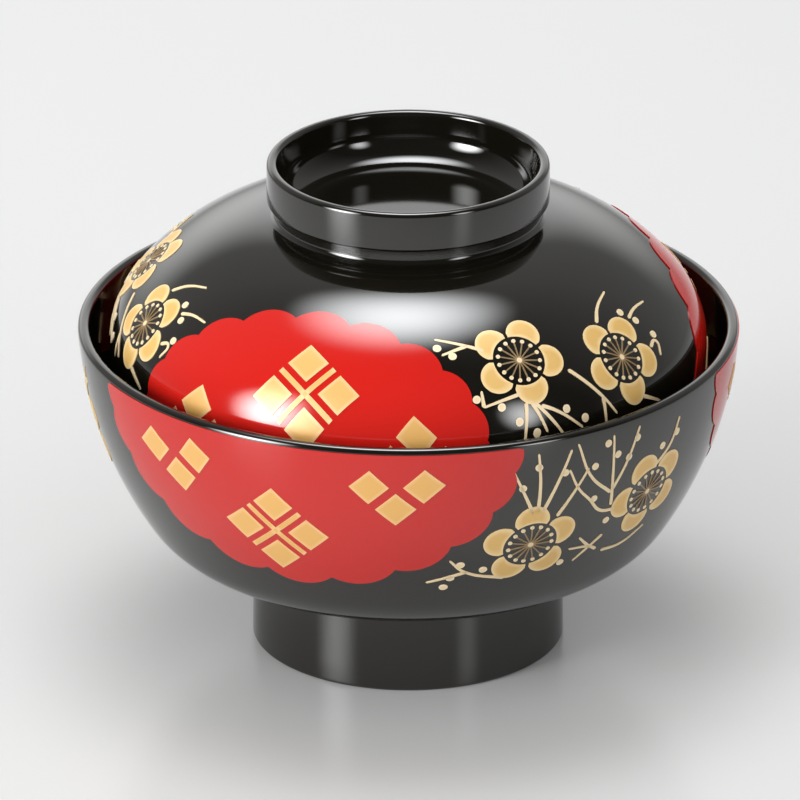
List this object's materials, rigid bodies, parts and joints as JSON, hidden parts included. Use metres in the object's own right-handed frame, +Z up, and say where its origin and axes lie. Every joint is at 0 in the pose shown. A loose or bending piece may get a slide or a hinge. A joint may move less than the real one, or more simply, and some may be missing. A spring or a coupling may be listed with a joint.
{
  "type": "lidded soup bowl",
  "caption": "Turned lacquer soup bowl on a ring foot, with a domed lid that drops inside the rim and has a grip ring, painted with red clouds, lozenge crests and plum blossom.",
  "frame": {"origin": "on the bowl's axis, in the plane its foot stands on", "axes": "+Z up along the axis of bowl and lid, -Y towards the front of the decoration, +X to its right"},
  "size_m": [0.1353, 0.1354, 0.104],
  "materials": {
    "wood_core": "turned wood, hidden under the lacquer",
    "black_lacquer": "polished black lacquer",
    "red_lacquer": "polished red lacquer",
    "gold": "gold paint, satin"
  },
  "bodies": {
    "bowl": {"bowl_wood_core": "wood_core", "bowl_outer_lacquer": "black_lacquer", "bowl_inner_lacquer": "black_lacquer", "bowl_foot_lacquer": "black_lacquer", "bowl_red_cloud_1": "red_lacquer", "bowl_red_cloud_2": "red_lacquer", "bowl_red_cloud_3": "red_lacquer", "bowl_gold_crests": "gold", "bowl_plum_petals": "gold", "bowl_plum_stamens": "gold", "bowl_plum_twigs": "gold", "bowl_plum_buds": "gold"},
    "lid": {"lid_wood_core": "wood_core", "lid_outer_lacquer": "black_lacquer", "lid_inner_lacquer": "black_lacquer", "lid_red_cloud_1": "red_lacquer", "lid_red_cloud_2": "red_lacquer", "lid_red_cloud_3": "red_lacquer", "lid_gold_crests": "gold", "lid_plum_petals": "gold", "lid_plum_stamens": "gold", "lid_plum_twigs": "gold", "lid_plum_buds": "gold"}
  },
  "joints": [
    {"name": "lid_lift", "type": "slide", "parent": "bowl", "child": "lid", "axis": [0, 0, 1], "range_m": [0, 0.12]}
  ]
}
